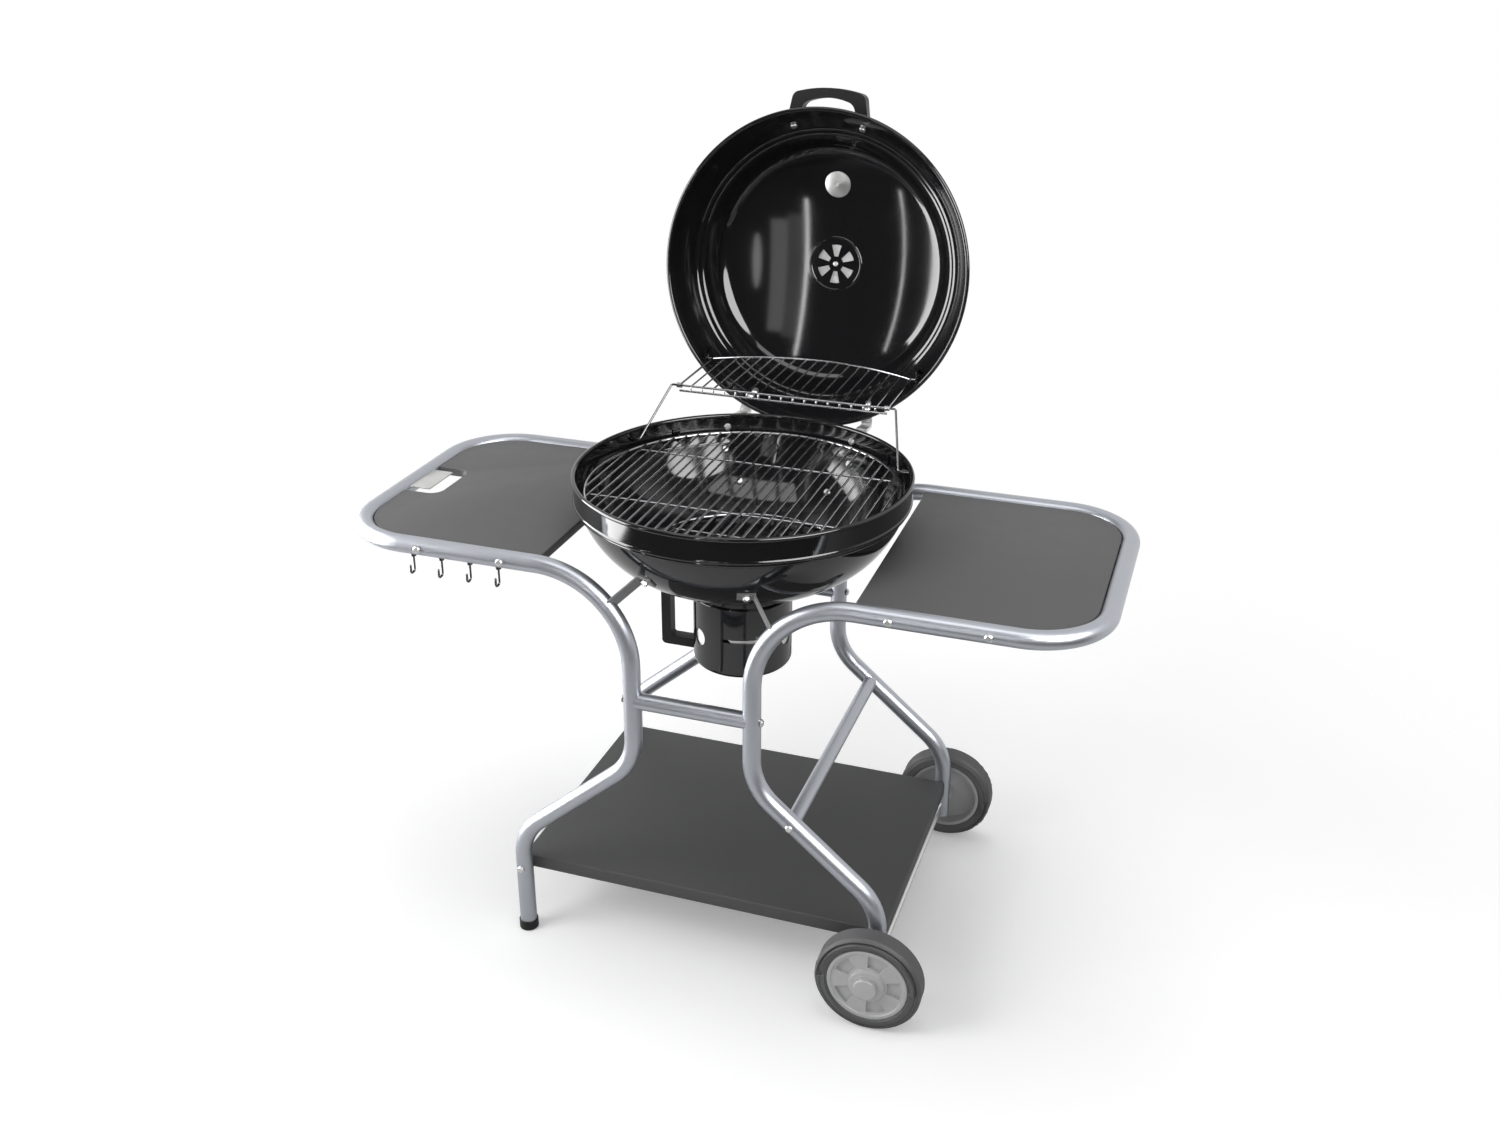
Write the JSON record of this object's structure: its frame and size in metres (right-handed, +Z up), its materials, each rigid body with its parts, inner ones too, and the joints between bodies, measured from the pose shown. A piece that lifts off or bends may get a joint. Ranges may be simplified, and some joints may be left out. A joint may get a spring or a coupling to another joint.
{
  "type": "kettle charcoal grill",
  "caption": "Kettle charcoal grill with hinged lid, lifting warming rack, round grates, ash catcher and side shelves on a bent-tube cart with wheels.",
  "frame": {"origin": "on the floor under the axis of the round bowl", "axes": "+Z up, +X along the cart towards the wheels, +Y to the back where the lid is hinged; the cook stands at -Y"},
  "size_m": [1.286, 0.8907, 1.3925],
  "materials": {
    "tube_paint": "satin silver powder coat",
    "enamel": "gloss black enamel",
    "shelf_board": "matte grey painted board",
    "lower_board": "matte dark grey painted board",
    "zinc": "zinc plated",
    "chrome_wire": "chrome-plated wire",
    "black_plastic": "moulded, matte",
    "tyre": "matte dark grey",
    "hub": "moulded light grey",
    "dial": "white",
    "glass": "clear",
    "needle": "red"
  },
  "bodies": {
    "cart": {"axle": "zinc", "axle_nuts": "zinc", "axle_spacers": "zinc", "bowl": "enamel", "bowl_bolts": "zinc", "bowl_brackets": "zinc", "bowl_collar": "enamel", "cook_tabs": "zinc", "foot_caps": "black_plastic", "frame_bolts": "zinc", "front_crossbar": "tube_paint", "hinge_pins": "zinc", "left_front_leg": "tube_paint", "left_hinge_bracket": "zinc", "left_rear_leg": "tube_paint", "left_shelf": "shelf_board", "left_upper_tube": "tube_paint", "leg_brace": "tube_paint", "lower_shelf": "lower_board", "rack_bosses": "zinc", "rear_crossbar": "tube_paint", "right_front_leg": "tube_paint", "right_hinge_bracket": "zinc", "right_rear_leg": "tube_paint", "right_shelf": "shelf_board", "right_upper_tube": "tube_paint", "shelf_bolts": "zinc", "slot_tab": "zinc", "utensil_hooks": "chrome_wire"},
    "lid": {"lid": "enamel", "lid_grip": "black_plastic", "grip_bolts": "zinc", "left_hinge_arm": "zinc", "right_hinge_arm": "zinc", "hinge_arm_bolts": "zinc", "vent_rivet": "zinc", "gauge_case": "zinc", "gauge_dial": "dial", "gauge_glass": "glass", "gauge_probe": "zinc", "gauge_plate": "zinc", "rack_hangers": "zinc"},
    "lid_damper": {"lid_damper": "zinc"},
    "gauge_needle": {"gauge_needle": "needle"},
    "left_rack_leg": {"left_rack_leg": "chrome_wire"},
    "right_rack_leg": {"right_rack_leg": "chrome_wire"},
    "warming_rack": {"warming_rack": "chrome_wire"},
    "cooking_grate": {"cooking_grate": "chrome_wire"},
    "charcoal_grate": {"charcoal_grate": "chrome_wire"},
    "ash_catcher": {"ash_can": "enamel", "ash_handle": "black_plastic", "ash_handle_bolts": "zinc"},
    "ash_damper": {"ash_damper": "zinc"},
    "front_wheel": {"front_tyre": "tyre", "front_hub": "hub", "front_hub_cap": "hub"},
    "rear_wheel": {"rear_tyre": "tyre", "rear_hub": "hub", "rear_hub_cap": "hub"}
  },
  "joints": [
    {"name": "lid_hinge", "type": "hinge", "parent": "cart", "child": "lid", "pos_m": [0, 0.297, 0.79], "axis": [1, 0, 0], "range_deg": [0, 98]},
    {"name": "lid_damper_turn", "type": "hinge", "parent": "lid", "child": "lid_damper", "pos_m": [0, 0.53877, 1.05594], "axis": [0, 0.9903, -0.1392], "range_deg": [0, 30]},
    {"name": "gauge_needle_turn", "type": "hinge", "parent": "lid", "child": "gauge_needle", "pos_m": [0, 0.54622, 1.20536], "axis": [0, 0.9992, 0.0399], "range_deg": [-270, 0], "stiffness_Nm_per_rad": 0.0005},
    {"name": "right_rack_leg_swing", "type": "hinge", "parent": "cart", "child": "right_rack_leg", "pos_m": [0, 0.12, 0.818], "axis": [1, 0, 0], "range_deg": [0, 118.39]},
    {"name": "left_rack_leg_swing", "type": "hinge", "parent": "cart", "child": "left_rack_leg", "pos_m": [0, 0.12, 0.818], "axis": [1, 0, 0], "range_deg": [0, 118.39]},
    {"name": "warming_rack_tilt", "type": "hinge", "parent": "right_rack_leg", "child": "warming_rack", "pos_m": [0, 0.205, 0.897], "axis": [1, 0, 0], "range_deg": [-119.49, 0]},
    {"name": "cooking_grate_lift", "type": "slide", "parent": "cart", "child": "cooking_grate", "axis": [0, 0, 1], "range_m": [0, 0.007]},
    {"name": "charcoal_grate_lift", "type": "slide", "parent": "cart", "child": "charcoal_grate", "axis": [0, 0, 1], "range_m": [0, 0.08]},
    {"name": "ash_catcher_drop", "type": "slide", "parent": "cart", "child": "ash_catcher", "axis": [0, 0, -1], "range_m": [0, 0.12]},
    {"name": "ash_damper_turn", "type": "hinge", "parent": "ash_catcher", "child": "ash_damper", "pos_m": [0, 0, 0.555], "axis": [0, 0, 1], "range_deg": [-36, 0]},
    {"name": "front_wheel_spin", "type": "hinge", "parent": "cart", "child": "front_wheel", "pos_m": [0.322, -0.293, 0.09], "axis": [0, 1, 0], "continuous": true},
    {"name": "rear_wheel_spin", "type": "hinge", "parent": "cart", "child": "rear_wheel", "pos_m": [0.322, 0.293, 0.09], "axis": [0, 1, 0], "continuous": true}
  ],
  "couplings": [
    {"joint": "right_rack_leg_swing", "follows": "lid_hinge", "ratio": 1.206},
    {"joint": "left_rack_leg_swing", "follows": "lid_hinge", "ratio": 1.206},
    {"joint": "warming_rack_tilt", "follows": "lid_hinge", "ratio": -1.2172}
  ]
}
